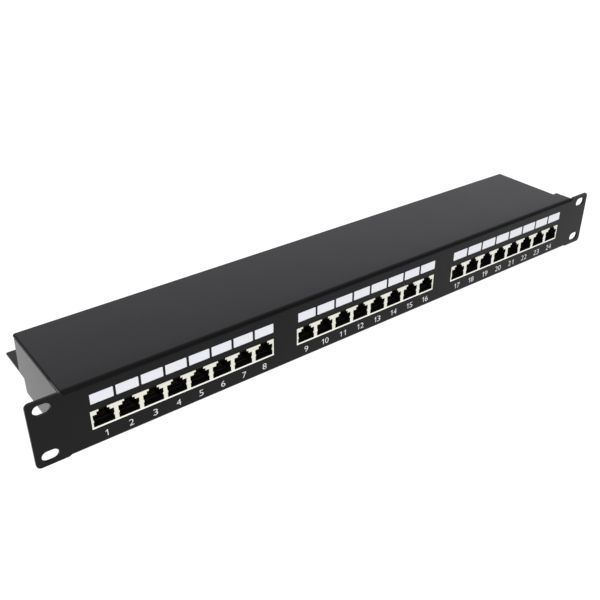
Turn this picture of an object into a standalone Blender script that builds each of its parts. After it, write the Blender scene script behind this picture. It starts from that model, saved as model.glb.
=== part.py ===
"""Rack patch panel of one rack unit: 24 shielded ports in three groups of eight, under a removable lid.

The origin lies on the lower edge of the rack ears, midway between the front face and the rear edge of
the cable tray. X runs along the panel, Y to the rear and Z up. All sizes are in metres.
"""

import math

import bmesh
import bpy

MM = 0.001

# Clearances
FIT = 0.3 * MM
HOLE_FIT = 0.3 * MM

# Front panel: its sizes add up to the rack standard's 482.6 mm, with slots 465.1 mm and 31.75 mm apart
PANEL_HEIGHT = 44.4 * MM
PANEL_SHEET = 1.5 * MM
PANEL_BEND = 3.0 * MM
PANEL_FOOT_BEND = 1.5 * MM
EAR_WIDTH = 20.575 * MM
EAR_LAP = 1.0 * MM
EAR_CORNER_RADIUS = 3.0 * MM
SLOT_INSET = 8.75 * MM
SLOT_EDGE = 6.325 * MM
SLOT_LENGTH = 10.2 * MM
SLOT_HEIGHT = 6.8 * MM
FLANGE_DEPTH = 15.4 * MM
FLANGE_INSET = 0.6 * MM
FLANGE_OVERHANG = 0.3 * MM

# Ports: three groups of eight, latch side up
GROUP_COUNT = 3
GROUP_GAP = 6.15 * MM
PORTS_PER_GROUP = 8
PORT_PITCH = 15.75 * MM
PORT_WIDTH = 13.1 * MM
PORT_HEIGHT = 8.35 * MM
LATCH_WIDTH = 8.0 * MM
LATCH_HEIGHT = 1.75 * MM
CATCH_WIDTH = 5.2 * MM
CATCH_HEIGHT = 1.4 * MM

# Jack shields and the housings inside them
SHIELD_CHEEK = 1.15 * MM
SHIELD_SILL = 1.2 * MM
SHIELD_DEPTH = 18.0 * MM
SHIELD_SHEET = 0.4 * MM
SHIELD_SETBACK = 0.1 * MM
SHIELD_NOTCH_DEPTH = 1.6 * MM
HOUSING_RIM = 0.25 * MM
HOUSING_ROOF = 0.4 * MM
HOUSING_BACK = 2.4 * MM

# Contact inserts
CONTACT_COUNT = 8
CONTACT_PITCH = 1.02 * MM
CONTACT_THICKNESS = 0.5 * MM
CONTACT_REAR_GAP = 2.7 * MM
CONTACT_RISE = 3.4 * MM
CARRIER_SETBACK = 3.4 * MM
CARRIER_SIDE_GAP = 1.05 * MM
CARRIER_DEPTH = 2.2 * MM
CARRIER_HEIGHT = 1.3 * MM

# Circuit boards and the terminal blocks on them
BOARD_EDGE = 4.6 * MM
BOARD_SCREW_EDGE = 3.1 * MM
BOARD_SCREW_ROOM = 0.725 * MM
BOARD_THICKNESS = 1.6 * MM
BLOCKS_PER_GROUP = 4
BLOCK_GAP = 1.2 * MM
BLOCK_SETBACK = 5.0 * MM
BLOCK_BASE_HEIGHT = 8.0 * MM
RIDGE_HEIGHT = 6.0 * MM
RIDGE_DEPTH = 7.0 * MM
TROUGH_DEPTH = 8.0 * MM
WIRE_SLOTS_PER_PORT = 4
WIRE_SLOT_PITCH = 3.3 * MM
WIRE_SLOT_WIDTH = 0.9 * MM
WIRE_SLOT_DEPTH = 4.6 * MM

# Base tray: floor, side walls and the cable tray behind them
SIDE_ROOM = 7.5 * MM
BODY_SHEET = 1.2 * MM
BODY_BEND = 1.6 * MM
STANDOFF_HEIGHT = 8.0 * MM
STANDOFF_DIAMETER = 7.0 * MM
RISER_REACH = 70.5 * MM
LID_OVERHANG = 4.1 * MM
WALL_SLANT = 3.8 * MM
TRAY_DEPTH = 32.5 * MM
TRAY_TOP = 13.4 * MM
TRAY_CORNER = 0.6 * MM
TONGUE_INSET = 70.7 * MM
TONGUE_WIDTH = 36.0 * MM
TONGUE_LAP = 7.0 * MM
CLINCH_DIAMETER = 6.4 * MM
CLINCH_HEIGHT = 3.0 * MM
TAB_WIDTH = 13.0 * MM
TAB_HEIGHT = 9.0 * MM
TIE_SLOT_WIDTH = 2.6 * MM
TIE_SLOT_LENGTH = 8.0 * MM
TIE_SLOT_SPACING = 10.0 * MM
TIE_SLOT_SETBACK = 12.0 * MM

# Lid
LID_EDGE_FLAT = 0.2 * MM
LID_GUIDE_DROP = 3.0 * MM

# Screws, and the earth stud with its nut
SCREW_DIAMETER = 3.0 * MM
SCREW_HEAD_DIAMETER = 5.6 * MM
SCREW_HEAD_HEIGHT = 1.9 * MM
SCREW_HEAD_CROWN = 0.6 * MM
RECESS_WIDTH = 0.8 * MM
RECESS_LENGTH = 3.2 * MM
RECESS_DEPTH = 1.1 * MM
SCREW_GRIP = 4.5 * MM
COUNTERSINK_HEIGHT = 1.2 * MM
COUNTERSINK_DIAMETER = 5.2 * MM
STUD_DIAMETER = 4.0 * MM
STUD_HEIGHT = 12.0 * MM
STUD_HEAD_DIAMETER = 7.0 * MM
STUD_HEAD_HEIGHT = 1.0 * MM
STUD_INSET = 14.0 * MM
STUD_SETBACK = 11.0 * MM
NUT_WIDTH = 7.0 * MM
NUT_HEIGHT = 3.2 * MM

# How finely round shapes are drawn, and how far a cutter overruns
BEND_STEPS = 4
CORNER_STEPS = 8
ROUND_STEPS = 12
MARGIN = 1.0 * MM

# Along X
GROUP_SPAN = PORTS_PER_GROUP * PORT_PITCH
SHIELD_WIDTH = GROUP_SPAN - PORT_PITCH + PORT_WIDTH + 2 * SHIELD_CHEEK
BOARD_SCREW_REACH = (GROUP_SPAN - BLOCK_GAP + SCREW_HEAD_DIAMETER) / 2 + BOARD_SCREW_ROOM
BOARD_LENGTH = 2 * (BOARD_SCREW_REACH + BOARD_SCREW_EDGE)
GROUP_PITCH = BOARD_LENGTH + GROUP_GAP
GROUP_CENTRES = [(i - (GROUP_COUNT - 1) / 2) * GROUP_PITCH for i in range(GROUP_COUNT)]
PORT_CENTRES = [x + (i - (PORTS_PER_GROUP - 1) / 2) * PORT_PITCH
                for x in GROUP_CENTRES for i in range(PORTS_PER_GROUP)]
BLOCK_PITCH = GROUP_SPAN / BLOCKS_PER_GROUP
BLOCK_WIDTH = BLOCK_PITCH - BLOCK_GAP
BLOCK_CENTRES = [x + (i - (BLOCKS_PER_GROUP - 1) / 2) * BLOCK_PITCH
                 for x in GROUP_CENTRES for i in range(BLOCKS_PER_GROUP)]
BODY_WIDTH = GROUP_COUNT * GROUP_PITCH - GROUP_GAP + 2 * SIDE_ROOM
WALL_OUTSIDE = BODY_WIDTH / 2
WALL_INSIDE = WALL_OUTSIDE - BODY_SHEET
PANEL_WIDTH = BODY_WIDTH + 2 * EAR_WIDTH
TONGUE_CENTRES = [TONGUE_INSET - WALL_OUTSIDE, WALL_OUTSIDE - TONGUE_INSET]
COVER_SCREW_X = WALL_INSIDE - TAB_WIDTH / 2
STUD_X = WALL_OUTSIDE - STUD_INSET

# Along Y, from the front face to the rear
FRONT = -(RISER_REACH + TRAY_DEPTH) / 2
PANEL_BACK = FRONT + PANEL_SHEET
FLANGE_REAR = FRONT + FLANGE_DEPTH
PANEL_SCREW_Y = (PANEL_BACK + FLANGE_REAR) / 2
BODY_FRONT = PANEL_BACK + max(PANEL_BEND - PANEL_SHEET, FIT)
SHIELD_FRONT = FRONT + SHIELD_SETBACK
SHIELD_REAR = SHIELD_FRONT + SHIELD_DEPTH
HOUSING_FRONT = SHIELD_FRONT + SHIELD_SHEET + FIT
HOUSING_REAR = SHIELD_REAR - SHIELD_SHEET - FIT
CAVITY_REAR = HOUSING_REAR - HOUSING_BACK
CARRIER_FRONT = HOUSING_FRONT + CARRIER_SETBACK
CONTACT_FRONT = CARRIER_FRONT + CARRIER_DEPTH / 2
CONTACT_REAR = CAVITY_REAR - CONTACT_REAR_GAP
BLOCK_FRONT = SHIELD_REAR + BLOCK_SETBACK
BLOCK_REAR = BLOCK_FRONT + 2 * RIDGE_DEPTH + TROUGH_DEPTH
BOARD_SCREW_Y = (BLOCK_FRONT + BLOCK_REAR) / 2
BOARD_REAR = BLOCK_REAR + BOARD_EDGE
RISER_REAR = FRONT + RISER_REACH
RISER_FRONT = RISER_REAR - BODY_SHEET
TAB_REAR = RISER_REAR + LID_OVERHANG
LIP_FRONT = TAB_REAR + FIT
LIP_REAR = LIP_FRONT + BODY_SHEET
WALL_REAR = TAB_REAR + WALL_SLANT
TRAY_REAR = RISER_REAR + TRAY_DEPTH
TIE_SLOT_Y = TRAY_REAR - TIE_SLOT_SETBACK
STUD_Y = TRAY_REAR - STUD_SETBACK

# Along Z, from the lower edge of the ears
FLANGE_BOTTOM = 0.0
FLANGE_TOP = PANEL_HEIGHT - FLANGE_INSET
FLOOR_TOP = FLANGE_BOTTOM + BODY_SHEET
TONGUE_BOTTOM = FLANGE_BOTTOM + PANEL_SHEET + FIT
TONGUE_TOP = TONGUE_BOTTOM + BODY_SHEET
CLINCH_TOP = TONGUE_TOP + CLINCH_HEIGHT
STANDOFF_TOP = FLOOR_TOP + STANDOFF_HEIGHT
BOARD_BOTTOM = STANDOFF_TOP + FIT
BOARD_TOP = BOARD_BOTTOM + BOARD_THICKNESS
SEAT = BOARD_TOP + FIT
PORT_FLOOR = SEAT + SHIELD_SILL
PORT_SHOULDER = PORT_FLOOR + PORT_HEIGHT
LATCH_TOP = PORT_SHOULDER + LATCH_HEIGHT
SHIELD_TOP = LATCH_TOP + CATCH_HEIGHT
HOUSING_TOP = SHIELD_TOP - SHIELD_SHEET - FIT
CARRIER_BOTTOM = PORT_FLOOR + HOUSING_RIM + FIT
TRAY_BOTTOM = TRAY_TOP - BODY_SHEET
TRAY_MIDDLE = TRAY_TOP - BODY_SHEET / 2
LID_TOP = FLANGE_TOP - PANEL_SHEET - FIT
LID_UNDER = LID_TOP - BODY_SHEET
LID_EDGE = LID_TOP - BODY_BEND - LID_EDGE_FLAT
LID_GUIDE = LID_UNDER - LID_GUIDE_DROP
WALL_TOP = LID_EDGE - FIT
TAB_TOP = LID_GUIDE - FIT
TAB_BOTTOM = TAB_TOP - TAB_HEIGHT
COVER_SCREW_Z = (TAB_TOP + TAB_BOTTOM) / 2


def clear_scene():
    """Removes what the file holds before the panel is modelled."""
    for old in list(bpy.data.objects):
        bpy.data.objects.remove(old, do_unlink=True)


def finish(name, colour, roughness, metallic):
    """A Principled material of one colour."""
    material = bpy.data.materials.new(name)
    material.use_nodes = True
    shader = material.node_tree.nodes["Principled BSDF"]
    shader.inputs["Base Color"].default_value = (*colour, 1.0)
    shader.inputs["Roughness"].default_value = roughness
    shader.inputs["Metallic"].default_value = metallic
    return material


# Outlines in a plane

def rectangle(u_low, u_high, v_low, v_high):
    """The four corners of a rectangle."""
    return [(u_low, v_low), (u_high, v_low), (u_high, v_high), (u_low, v_high)]


def circle(u, v, diameter, steps=ROUND_STEPS):
    """A regular polygon whose corners lie on a circle."""
    turns = [2 * math.pi * (i + 0.5) / steps for i in range(steps)]
    return [(u + diameter / 2 * math.cos(turn), v + diameter / 2 * math.sin(turn)) for turn in turns]


def rounded(path, radii, steps, closed=False):
    """A path with each corner replaced by an arc of its radius. The ends of an open path stay as they are."""
    drawn = []
    for i, ((u, v), radius) in enumerate(zip(path, radii)):
        if not closed and i in (0, len(path) - 1):
            drawn.append((u, v))
            continue
        u_before, v_before = path[i - 1]
        u_after, v_after = path[(i + 1) % len(path)]
        heading = math.atan2(v - v_before, u - u_before)
        turn = math.remainder(math.atan2(v_after - v, u_after - u) - heading, 2 * math.pi)
        reach = radius * math.tan(abs(turn) / 2)
        side = math.copysign(radius, turn)
        centre_u = u - reach * math.cos(heading) - side * math.sin(heading)
        centre_v = v - reach * math.sin(heading) + side * math.cos(heading)
        for step in range(steps + 1):
            angle = heading + turn * step / steps
            drawn.append((centre_u + side * math.sin(angle), centre_v - side * math.cos(angle)))
    return drawn


def obround(u, v, length, height):
    """A slot with round ends, long along u."""
    half = (length - height) / 2
    arc = [math.pi * (step / CORNER_STEPS - 1) / 2 for step in range(2 * CORNER_STEPS + 1)]
    end = [(half + height / 2 * math.cos(turn), height / 2 * math.sin(turn)) for turn in arc]
    return [(u + a, v + b) for a, b in end] + [(u - a, v - b) for a, b in end]


def bent_sheet(outer, inner, outer_radii, sheet):
    """The section of a bent sheet, from the paths of its two faces and the outer radius at each corner."""
    inner_radii = [max(radius - sheet, FIT) for radius in outer_radii]
    return rounded(outer, outer_radii, BEND_STEPS) + rounded(inner, inner_radii, BEND_STEPS)[::-1]


def port_outline(x, rim, top):
    """The stepped opening of one port, drawn in by the rim and closed at the given height."""
    half, latch, catch = PORT_WIDTH / 2 - rim, LATCH_WIDTH / 2 - rim, CATCH_WIDTH / 2 - rim
    floor, shoulder, step = PORT_FLOOR + rim, PORT_SHOULDER - rim, LATCH_TOP - rim
    right = [(half, floor), (half, shoulder), (latch, shoulder), (latch, step), (catch, step), (catch, top)]
    return [(x + u, v) for u, v in right] + [(x - u, v) for u, v in reversed(right)]


# Solids

def point_on(axis, u, v, along):
    """The point of an outline at a distance along the axis that the outline is swept along."""
    return {"X": (along, u, v), "Y": (u, along, v), "Z": (u, v, along)}[axis]


def as_object(name, shape):
    """Turns a bmesh into an object whose faces point out."""
    bmesh.ops.recalc_face_normals(shape, faces=shape.faces)
    mesh = bpy.data.meshes.new(name)
    shape.to_mesh(mesh)
    shape.free()
    made = bpy.data.objects.new(name, mesh)
    bpy.context.scene.collection.objects.link(made)
    return made


def prisms(name, sweeps):
    """An object of prisms, each an outline swept along an axis: (axis, outline, low end, high end)."""
    shape = bmesh.new()
    for axis, outline, low, high in sweeps:
        face = shape.faces.new([shape.verts.new(point_on(axis, u, v, low)) for u, v in outline])
        swept = bmesh.ops.extrude_face_region(shape, geom=[face])["geom"]
        moved = [item for item in swept if isinstance(item, bmesh.types.BMVert)]
        bmesh.ops.translate(shape, verts=moved, vec=point_on(axis, 0, 0, high - low))
    return as_object(name, shape)


def turned(name, profile):
    """A round object about its own Z axis, from (radius, height) points that start and end on the axis."""
    shape = bmesh.new()
    points = [shape.verts.new((radius, 0, height)) for radius, height in profile]
    edges = [shape.edges.new(pair) for pair in zip(points, points[1:])]
    bmesh.ops.spin(shape, geom=points + edges, axis=(0, 0, 1), cent=(0, 0, 0),
                   angle=2 * math.pi, steps=ROUND_STEPS)
    bmesh.ops.remove_doubles(shape, verts=shape.verts, dist=FIT / 100)
    return as_object(name, shape)


def combine(target, helper, operation):
    """Joins a helper to the target, or cuts it away, with a Boolean that stays on the target."""
    modifier = target.modifiers.new(helper.name, "BOOLEAN")
    modifier.operation = operation
    modifier.solver = "EXACT"
    modifier.object = helper
    helper.hide_render = True
    helper.display_type = "WIRE"


def add(target, label, sweeps):
    """Joins prisms to the target. Each of them overlaps it."""
    combine(target, prisms(f"{target.name}_{label}", sweeps), "UNION")


def cut(target, label, sweeps):
    """Cuts prisms out of the target."""
    combine(target, prisms(f"{target.name}_{label}", sweeps), "DIFFERENCE")


def finished_mesh(model, material):
    """The mesh of a model with its Booleans applied. The model and its helpers are removed."""
    bpy.context.view_layer.update()
    mesh = bpy.data.meshes.new_from_object(model.evaluated_get(bpy.context.evaluated_depsgraph_get()))
    mesh.materials.clear()
    mesh.materials.append(material)
    mesh.shade_smooth()
    mesh.set_sharp_from_angle(angle=math.radians(40))
    for old in [modifier.object for modifier in model.modifiers] + [model]:
        bpy.data.objects.remove(old, do_unlink=True)
    return mesh


def place_copy(name, mesh, place, turn=(0, 0, 0)):
    """One piece of a repeated sub-part, which shares its mesh with the others."""
    copy = bpy.data.objects.new(name, mesh)
    copy.location = place
    copy.rotation_euler = turn
    bpy.context.scene.collection.objects.link(copy)
    return copy


def ride(piece, slide):
    """Parents a piece to the lid's slide and leaves it where it is."""
    bpy.context.view_layer.update()
    piece.parent = slide
    piece.matrix_parent_inverse = slide.matrix_world.inverted()


# Sub-parts

def make_front_panel(material):
    """The folded front sheet with its ears, slotted holes and port cut-outs."""
    half = WALL_OUTSIDE + FLANGE_OVERHANG
    low, high = FLANGE_BOTTOM + PANEL_SHEET, FLANGE_TOP - PANEL_SHEET
    outer = [(FLANGE_REAR, FLANGE_TOP), (FRONT, FLANGE_TOP),
             (FRONT, FLANGE_BOTTOM), (FLANGE_REAR, FLANGE_BOTTOM)]
    inner = [(FLANGE_REAR, high), (PANEL_BACK, high), (PANEL_BACK, low), (FLANGE_REAR, low)]
    bends = [PANEL_BEND, PANEL_BEND, PANEL_FOOT_BEND, PANEL_FOOT_BEND]
    panel = prisms("front_panel", [("X", bent_sheet(outer, inner, bends, PANEL_SHEET), -half, half)])
    root, tip = half - EAR_LAP, PANEL_WIDTH / 2
    corners = [(root, 0), (tip, 0), (tip, PANEL_HEIGHT), (root, PANEL_HEIGHT)]
    ear = rounded(corners, [EAR_CORNER_RADIUS] * 4, CORNER_STEPS, closed=True)
    add(panel, "right_ear", [("Y", ear, FRONT, PANEL_BACK)])
    add(panel, "left_ear", [("Y", [(-x, z) for x, z in ear], FRONT, PANEL_BACK)])
    front, back = FRONT - MARGIN, PANEL_BACK + MARGIN
    centres = [(side * (tip - SLOT_INSET), z)
               for side in (-1, 1) for z in (SLOT_EDGE, PANEL_HEIGHT - SLOT_EDGE)]
    slots = [obround(x, z, SLOT_LENGTH, SLOT_HEIGHT) for x, z in centres]
    cut(panel, "slots", [("Y", slot, front, back) for slot in slots])
    reach = SHIELD_WIDTH / 2 + FIT
    openings = [rectangle(x - reach, x + reach, SEAT - FIT, SHIELD_TOP + FIT) for x in GROUP_CENTRES]
    cut(panel, "port_openings", [("Y", opening, front, back) for opening in openings])
    for label, x in zip(("left", "right"), TONGUE_CENTRES):
        cone = turned(f"front_panel_{label}_countersink", countersunk_profile(HOLE_FIT, MARGIN))
        cone.location = (x, PANEL_SCREW_Y, FLANGE_BOTTOM)
        combine(panel, cone, "DIFFERENCE")
    panel.data.materials.append(material)


def countersunk_profile(grow, overrun):
    """The profile of a countersunk screw, or of its hole when it is grown and overruns at both ends."""
    head, shank = COUNTERSINK_DIAMETER / 2 + grow, SCREW_DIAMETER / 2 + grow
    flare = overrun * (COUNTERSINK_DIAMETER - SCREW_DIAMETER) / (2 * COUNTERSINK_HEIGHT)
    top = CLINCH_TOP - FLANGE_BOTTOM + overrun
    return [(0, -overrun), (head + flare, -overrun), (shank, COUNTERSINK_HEIGHT), (shank, top), (0, top)]


def board_screw_places():
    """Where the screws of the circuit boards stand: (x, y)."""
    return [(x + side * BOARD_SCREW_REACH, BOARD_SCREW_Y) for x in GROUP_CENTRES for side in (-1, 1)]


def make_base_tray(material):
    """The floor, the side walls with their cut-away rear end, and the cable tray on its riser."""
    outer = [(-WALL_OUTSIDE, WALL_TOP), (-WALL_OUTSIDE, FLANGE_BOTTOM),
             (WALL_OUTSIDE, FLANGE_BOTTOM), (WALL_OUTSIDE, WALL_TOP)]
    inner = [(-WALL_INSIDE, WALL_TOP), (-WALL_INSIDE, FLOOR_TOP),
             (WALL_INSIDE, FLOOR_TOP), (WALL_INSIDE, WALL_TOP)]
    section = bent_sheet(outer, inner, [BODY_BEND] * 4, BODY_SHEET)
    base = prisms("base_tray", [("Y", section, BODY_FRONT, WALL_REAR)])
    shape_wall_ends(base)
    foot = RISER_FRONT - BODY_BEND
    riser = [(foot, FLANGE_BOTTOM), (RISER_REAR, FLANGE_BOTTOM), (RISER_REAR, TRAY_MIDDLE),
             (RISER_FRONT, TRAY_MIDDLE), (RISER_FRONT, FLOOR_TOP), (foot, FLOOR_TOP)]
    reach = WALL_OUTSIDE - BODY_BEND
    add(base, "riser", [("X", riser, -reach, reach)])
    tray = rectangle(RISER_FRONT, TRAY_REAR, TRAY_BOTTOM, TRAY_TOP)
    add(base, "cable_tray", [("X", tray, -WALL_OUTSIDE, WALL_OUTSIDE)])
    add_base_fixings(base)
    cut_base_holes(base)
    base.data.materials.append(material)


def shape_wall_ends(base):
    """Cuts the floor away behind the riser and over the panel's flange, and slants the walls' rear ends."""
    across = WALL_OUTSIDE + MARGIN
    behind, above, below = WALL_REAR + MARGIN, WALL_TOP + MARGIN, FLANGE_BOTTOM - MARGIN
    under_tray = rectangle(RISER_REAR, behind, below, TRAY_BOTTOM)
    slant = [(TAB_REAR, WALL_TOP), (WALL_REAR, TRAY_TOP), (behind, TRAY_TOP),
             (behind, above), (TAB_REAR, above)]
    over_flange = rectangle(BODY_FRONT - MARGIN, FLANGE_REAR + FIT, below, TONGUE_BOTTOM)
    outlines = (under_tray, slant, over_flange)
    cut(base, "wall_ends", [("X", outline, -across, across) for outline in outlines])


def add_base_fixings(base):
    """Joins what other pieces are screwed to: tongues with clinch nuts, standoffs and the lid's tabs."""
    root = FLOOR_TOP - BODY_SHEET / 2
    front, step, rear = BODY_FRONT + MARGIN, FLANGE_REAR + FIT, FLANGE_REAR + FIT + TONGUE_LAP
    tongue = [(front, TONGUE_BOTTOM), (step, TONGUE_BOTTOM), (step + BODY_SHEET, root), (rear, root),
              (rear, TONGUE_TOP), (front, TONGUE_TOP)]
    half = TONGUE_WIDTH / 2
    add(base, "tongues", [("X", tongue, x - half, x + half) for x in TONGUE_CENTRES])
    nuts = [circle(x, PANEL_SCREW_Y, CLINCH_DIAMETER) for x in TONGUE_CENTRES]
    add(base, "clinch_nuts", [("Z", nut, TONGUE_TOP - BODY_SHEET / 2, CLINCH_TOP) for nut in nuts])
    posts = [circle(x, y, STANDOFF_DIAMETER) for x, y in board_screw_places()]
    add(base, "standoffs", [("Z", post, root, STANDOFF_TOP) for post in posts])
    tab = rectangle(WALL_INSIDE - TAB_WIDTH, WALL_INSIDE + BODY_SHEET / 2, TAB_BOTTOM, TAB_TOP)
    tabs = (tab, [(-x, z) for x, z in tab])
    add(base, "lid_tabs", [("Y", outline, TAB_REAR - BODY_SHEET, TAB_REAR) for outline in tabs])


def cut_base_holes(base):
    """Drills the screw holes, punches the slots for cable ties and trims the tray's rear corners."""
    hole = SCREW_DIAMETER + 2 * HOLE_FIT
    below, over_tray = FLANGE_BOTTOM - MARGIN, TRAY_TOP + MARGIN
    cut(base, "panel_screw_holes", [("Z", circle(x, PANEL_SCREW_Y, hole), below, CLINCH_TOP + MARGIN)
                                    for x in TONGUE_CENTRES])
    cut(base, "board_screw_holes", [("Z", circle(x, y, hole), below, STANDOFF_TOP + MARGIN)
                                    for x, y in board_screw_places()])
    before, behind = TAB_REAR - BODY_SHEET - MARGIN, TAB_REAR + MARGIN
    cut(base, "cover_screw_holes", [("Y", circle(side * COVER_SCREW_X, COVER_SCREW_Z, hole), before, behind)
                                    for side in (-1, 1)])
    stud_hole = circle(STUD_X, STUD_Y, STUD_DIAMETER + 2 * HOLE_FIT)
    wide, long = TIE_SLOT_WIDTH / 2, TIE_SLOT_LENGTH / 2
    tie_places = [x + side * TIE_SLOT_SPACING / 2 for x in BLOCK_CENTRES for side in (-1, 1)]
    ties = [rectangle(x - wide, x + wide, TIE_SLOT_Y - long, TIE_SLOT_Y + long) for x in tie_places]
    ties = [rounded(tie, [wide / 2] * 4, 1, closed=True) for tie in ties]
    edge, back = WALL_OUTSIDE + MARGIN, TRAY_REAR + MARGIN
    trim = TRAY_CORNER + 2 * MARGIN
    corner = [(edge, back - trim), (edge, back), (edge - trim, back)]
    corners = [corner, [(-x, y) for x, y in corner]]
    cut(base, "tray_holes", [("Z", outline, TRAY_BOTTOM - MARGIN, over_tray)
                             for outline in [stud_hole] + ties + corners])


def make_top_cover(material, slide):
    """The lid: its front edge lies under the panel's flange, and its rear lip is screwed to the tray."""
    guide_out = WALL_INSIDE - FIT
    guide_in = guide_out - BODY_SHEET
    top = rounded([(-WALL_OUTSIDE, LID_EDGE), (-WALL_OUTSIDE, LID_TOP), (WALL_OUTSIDE, LID_TOP),
                   (WALL_OUTSIDE, LID_EDGE)], [BODY_BEND] * 4, BEND_STEPS)
    right = [(guide_out, LID_EDGE), (guide_out, LID_GUIDE), (guide_in, LID_GUIDE), (guide_in, LID_UNDER)]
    section = top + right + [(-x, z) for x, z in reversed(right)]
    lid = prisms("top_cover", [("Y", section, BODY_FRONT, LIP_REAR)])
    lip = rectangle(-guide_out, guide_out, TAB_BOTTOM, LID_TOP - BODY_SHEET / 2)
    add(lid, "rear_lip", [("Y", lip, LIP_FRONT, LIP_REAR)])
    hole = SCREW_DIAMETER + 2 * HOLE_FIT
    cut(lid, "screw_holes", [("Y", circle(side * COVER_SCREW_X, COVER_SCREW_Z, hole), LIP_FRONT - MARGIN,
                              LIP_REAR + MARGIN) for side in (-1, 1)])
    lid.data.materials.append(material)
    ride(lid, slide)


def make_circuit_boards(material):
    """One board for each group, screwed to the standoffs."""
    hole = SCREW_DIAMETER + 2 * HOLE_FIT
    half = BOARD_LENGTH / 2
    low, high = BOARD_BOTTOM - MARGIN, BOARD_TOP + MARGIN
    for number, x in enumerate(GROUP_CENTRES, 1):
        outline = rectangle(x - half, x + half, BODY_FRONT, BOARD_REAR)
        board = prisms(f"circuit_board_{number}", [("Z", outline, BOARD_BOTTOM, BOARD_TOP)])
        screws = [circle(x + side * BOARD_SCREW_REACH, BOARD_SCREW_Y, hole) for side in (-1, 1)]
        cut(board, "screw_holes", [("Z", screw, low, high) for screw in screws])
        board.data.materials.append(material)


def group_ports(number):
    """The X places of the ports in a group, which counts from 1."""
    return PORT_CENTRES[(number - 1) * PORTS_PER_GROUP:number * PORTS_PER_GROUP]


def make_jack_shields(material):
    """The plated covers over each gang of jacks, open below and cut out round each port."""
    half = SHIELD_WIDTH / 2
    inside = half - SHIELD_SHEET
    for number, x in enumerate(GROUP_CENTRES, 1):
        box = rectangle(x - half, x + half, SEAT, SHIELD_TOP)
        shield = prisms(f"jack_shield_{number}", [("Y", box, SHIELD_FRONT, SHIELD_REAR)])
        hollow = rectangle(x - inside, x + inside, SEAT - MARGIN, SHIELD_TOP - SHIELD_SHEET)
        cut(shield, "hollow", [("Y", hollow, SHIELD_FRONT + SHIELD_SHEET, SHIELD_REAR - SHIELD_SHEET)])
        ports = [port_outline(port, 0, SHIELD_TOP + MARGIN) for port in group_ports(number)]
        cut(shield, "ports", [("Y", port, SHIELD_FRONT - MARGIN, SHIELD_FRONT + SHIELD_NOTCH_DEPTH)
                              for port in ports])
        shield.data.materials.append(material)


def make_jack_housings(material):
    """The plastic bodies of each gang of jacks, with a stepped cavity for each plug."""
    half = SHIELD_WIDTH / 2 - SHIELD_SHEET - FIT
    for number, x in enumerate(GROUP_CENTRES, 1):
        box = rectangle(x - half, x + half, SEAT, HOUSING_TOP)
        housing = prisms(f"jack_housing_{number}", [("Y", box, HOUSING_FRONT, HOUSING_REAR)])
        roof = HOUSING_TOP - HOUSING_ROOF
        cavities = [port_outline(port, HOUSING_RIM, roof) for port in group_ports(number)]
        front = HOUSING_FRONT - MARGIN
        cut(housing, "cavities", [("Y", cavity, front, CAVITY_REAR) for cavity in cavities])
        housing.data.materials.append(material)


def make_contact_inserts(material):
    """The carrier with its eight spring contacts on the floor of each port."""
    half = PORT_WIDTH / 2 - HOUSING_RIM - CARRIER_SIDE_GAP
    carrier_top = CARRIER_BOTTOM + CARRIER_HEIGHT
    block = rectangle(-half, half, CARRIER_BOTTOM, carrier_top)
    insert = prisms("contact_insert", [("Y", block, CARRIER_FRONT, CARRIER_FRONT + CARRIER_DEPTH)])
    low = CARRIER_BOTTOM + CARRIER_HEIGHT / 4
    high = low + CONTACT_RISE
    wire = [(CONTACT_FRONT, low), (CONTACT_REAR, high), (CONTACT_REAR, high + CONTACT_THICKNESS),
            (CONTACT_FRONT, low + CONTACT_THICKNESS)]
    places = [(i - (CONTACT_COUNT - 1) / 2) * CONTACT_PITCH for i in range(CONTACT_COUNT)]
    side = CONTACT_THICKNESS / 2
    add(insert, "contacts", [("X", wire, x - side, x + side) for x in places])
    mesh = finished_mesh(insert, material)
    for number, x in enumerate(PORT_CENTRES, 1):
        place_copy(f"contact_insert_{number:02d}", mesh, (x, 0, 0))


def make_terminal_blocks(material):
    """The punch-down blocks behind the jacks: two ridges with a slot for each wire."""
    ridge_foot = SEAT + BLOCK_BASE_HEIGHT
    ridge_top = ridge_foot + RIDGE_HEIGHT
    near, far = BLOCK_FRONT + RIDGE_DEPTH, BLOCK_REAR - RIDGE_DEPTH
    section = [(BLOCK_FRONT, SEAT), (BLOCK_REAR, SEAT), (BLOCK_REAR, ridge_top), (far, ridge_top),
               (far, ridge_foot), (near, ridge_foot), (near, ridge_top), (BLOCK_FRONT, ridge_top)]
    block = prisms("terminal_block", [("X", section, -BLOCK_WIDTH / 2, BLOCK_WIDTH / 2)])
    ports = PORTS_PER_GROUP // BLOCKS_PER_GROUP
    centres = [(port - (ports - 1) / 2) * PORT_PITCH + (i - (WIRE_SLOTS_PER_PORT - 1) / 2) * WIRE_SLOT_PITCH
               for port in range(ports) for i in range(WIRE_SLOTS_PER_PORT)]
    half = WIRE_SLOT_WIDTH / 2
    slot_foot, above = ridge_top - WIRE_SLOT_DEPTH, ridge_top + MARGIN
    slot = rectangle(BLOCK_FRONT - MARGIN, BLOCK_REAR + MARGIN, slot_foot, above)
    cut(block, "wire_slots", [("X", slot, x - half, x + half) for x in centres])
    mesh = finished_mesh(block, material)
    for number, x in enumerate(BLOCK_CENTRES, 1):
        place_copy(f"terminal_block_{number:02d}", mesh, (x, 0, 0))


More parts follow.
